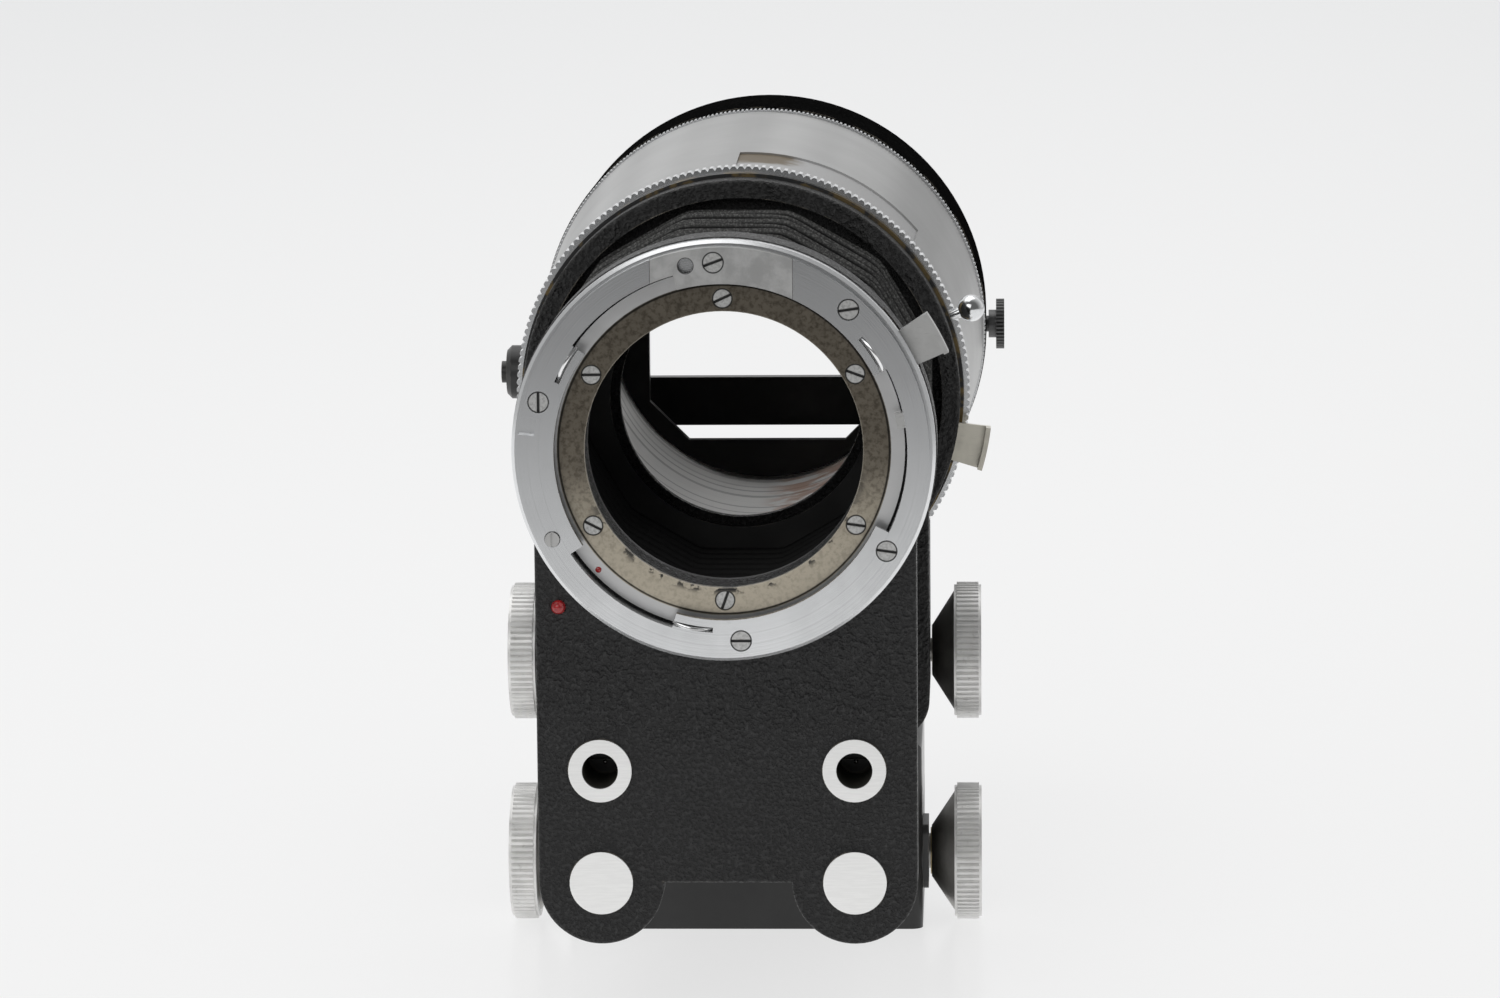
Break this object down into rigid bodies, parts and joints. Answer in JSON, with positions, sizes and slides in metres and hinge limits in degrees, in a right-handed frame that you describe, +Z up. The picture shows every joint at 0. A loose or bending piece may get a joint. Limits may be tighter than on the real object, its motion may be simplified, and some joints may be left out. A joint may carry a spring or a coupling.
{
  "type": "macro focusing bellows",
  "caption": "Macro bellows unit: lens standard with bayonet throat, pleated bellows, rear standard and camera barrel on rods, with fluted focusing knobs and a tripod carriage.",
  "frame": {"origin": "mouth of the tripod thread, in the middle of the carriage's base", "axes": "+Z up from the base, +Y back along the optical axis from the lens end to the camera end, +X to the right seen from the lens end"},
  "size_m": [0.0878, 0.2006, 0.1322],
  "materials": {
    "black_wrinkle": "fine wrinkle paint, matte black",
    "black_satin": "satin black enamel",
    "satin_chrome": "fine satin chrome plating",
    "bright_chrome": "bright chrome plating",
    "nickel": "worn matt nickel over brass",
    "bare_aluminium": "turned bare aluminium",
    "steel": "ground steel",
    "bronze": "plain bronze bearing",
    "leatherette": "black leatherette over card",
    "red_enamel": "glossy red bead"
  },
  "bodies": {
    "carriage": {"carriage_block": "black_satin", "tripod_bush": "steel", "rail_bush_left": "bronze", "rail_bush_right": "bronze", "rail_bearing_left": "black_satin", "rail_bearing_right": "black_satin"},
    "rail_drive": {"rail_pinion": "steel", "rail_knob_left": "bare_aluminium", "rail_knob_right": "bare_aluminium", "rail_knob_screws": "steel"},
    "rail": {"front_plate": "black_wrinkle", "rail_rod_left": "steel", "rail_rod_right": "steel", "guide_tube_left": "satin_chrome", "guide_tube_right": "satin_chrome", "tube_plugs": "steel", "tie_plate": "black_satin", "tie_plate_screws": "steel", "mount_flange": "bright_chrome", "bayonet_ring": "satin_chrome", "bayonet_insert": "satin_chrome", "bayonet_screws": "bright_chrome", "bayonet_stop": "bright_chrome", "throat_ring": "nickel", "throat_screws": "nickel", "index_bead": "red_enamel", "lens_release_spring": "steel", "bellows_front_frame": "black_satin", "bellows": "leatherette"},
    "lens_lock": {"lens_lock_pin": "bright_chrome"},
    "lens_release": {"lens_release_lever": "bright_chrome"},
    "rear": {"rear_standard": "black_wrinkle", "rear_bush_left": "bronze", "rear_bush_right": "bronze", "rear_bearing_left": "bronze", "rear_bearing_right": "bronze", "barrel_retainer": "black_satin", "bellows_rear_frame": "black_satin"},
    "rear_drive": {"rear_pinion": "steel", "rear_knob_left": "bare_aluminium", "rear_knob_right": "bare_aluminium", "rear_knob_screws": "steel"},
    "clamp": {"clamp_ring": "bright_chrome", "clamp_lever": "bright_chrome"},
    "rear_release": {"rear_release_lever": "nickel"},
    "barrel": {"barrel_grip_ring": "bright_chrome", "barrel_shell": "satin_chrome", "barrel_sleeve": "bare_aluminium", "end_housing": "black_wrinkle", "window_plate": "black_satin", "gate_bar_lower": "black_satin", "gate_bar_upper": "black_satin"},
    "end_lock": {"end_lock_ring": "black_satin"},
    "barrel_knob": {"barrel_knob": "black_satin"},
    "thumb_screw": {"thumb_screw": "satin_chrome"}
  },
  "joints": [
    {"name": "rail_slide", "type": "slide", "parent": "carriage", "child": "rail", "axis": [0, 1, 0], "range_m": [-0.05, 0.05]},
    {"name": "rail_knob_turn", "type": "hinge", "parent": "carriage", "child": "rail_drive", "pos_m": [0, -0.012, 0.0119], "axis": [1, 0, 0], "range_deg": [-480, 480]},
    {"name": "rear_slide", "type": "slide", "parent": "rail", "child": "rear", "axis": [0, 1, 0], "range_m": [-0.03, 0.06], "deforming": ["bellows"]},
    {"name": "rear_knob_turn", "type": "hinge", "parent": "rear", "child": "rear_drive", "pos_m": [0, -0.008, 0.04595], "axis": [1, 0, 0], "range_deg": [-1150, 577]},
    {"name": "lens_release_swing", "type": "hinge", "parent": "rail", "child": "lens_release", "pos_m": [0, -0.083, 0.091], "axis": [0, 1, 0], "range_deg": [-6, 0], "stiffness_Nm_per_rad": 0.02, "springref_deg": 2.86},
    {"name": "lens_lock_slide", "type": "slide", "parent": "rail", "child": "lens_lock", "axis": [0, 1, 0], "range_m": [0, 0.00105]},
    {"name": "clamp_turn", "type": "hinge", "parent": "rear", "child": "clamp", "pos_m": [0, -0.015, 0.091], "axis": [0, 1, 0], "range_deg": [-18, 0]},
    {"name": "rear_release_swing", "type": "hinge", "parent": "rear", "child": "rear_release", "pos_m": [0, -0.0195, 0.091], "axis": [0, 1, 0], "range_deg": [0, 6], "stiffness_Nm_per_rad": 0.02, "springref_deg": -2.86},
    {"name": "barrel_turn", "type": "hinge", "parent": "rear", "child": "barrel", "pos_m": [0, 0.03, 0.091], "axis": [0, 1, 0], "range_deg": [-90, 90]},
    {"name": "end_lock_turn", "type": "hinge", "parent": "barrel", "child": "end_lock", "pos_m": [0, 0.078, 0.091], "axis": [0, 1, 0], "range_deg": [-20, 20]},
    {"name": "barrel_knob_turn", "type": "hinge", "parent": "barrel", "child": "barrel_knob", "pos_m": [-0.04, 0.016, 0.091], "axis": [1, 0, 0], "range_deg": [-180, 180]},
    {"name": "thumb_screw_turn", "type": "hinge", "parent": "barrel", "child": "thumb_screw", "pos_m": [0.043, 0.087, 0.091], "axis": [1, 0, 0], "range_deg": [-180, 180]}
  ],
  "couplings": [
    {"joint": "rail_knob_turn", "follows": "rail_slide", "rad_per_m": -166.67},
    {"joint": "rear_knob_turn", "follows": "rear_slide", "rad_per_m": -333.33},
    {"joint": "lens_lock_slide", "follows": "lens_release_swing", "m_per_rad": -0.0095493}
  ]
}
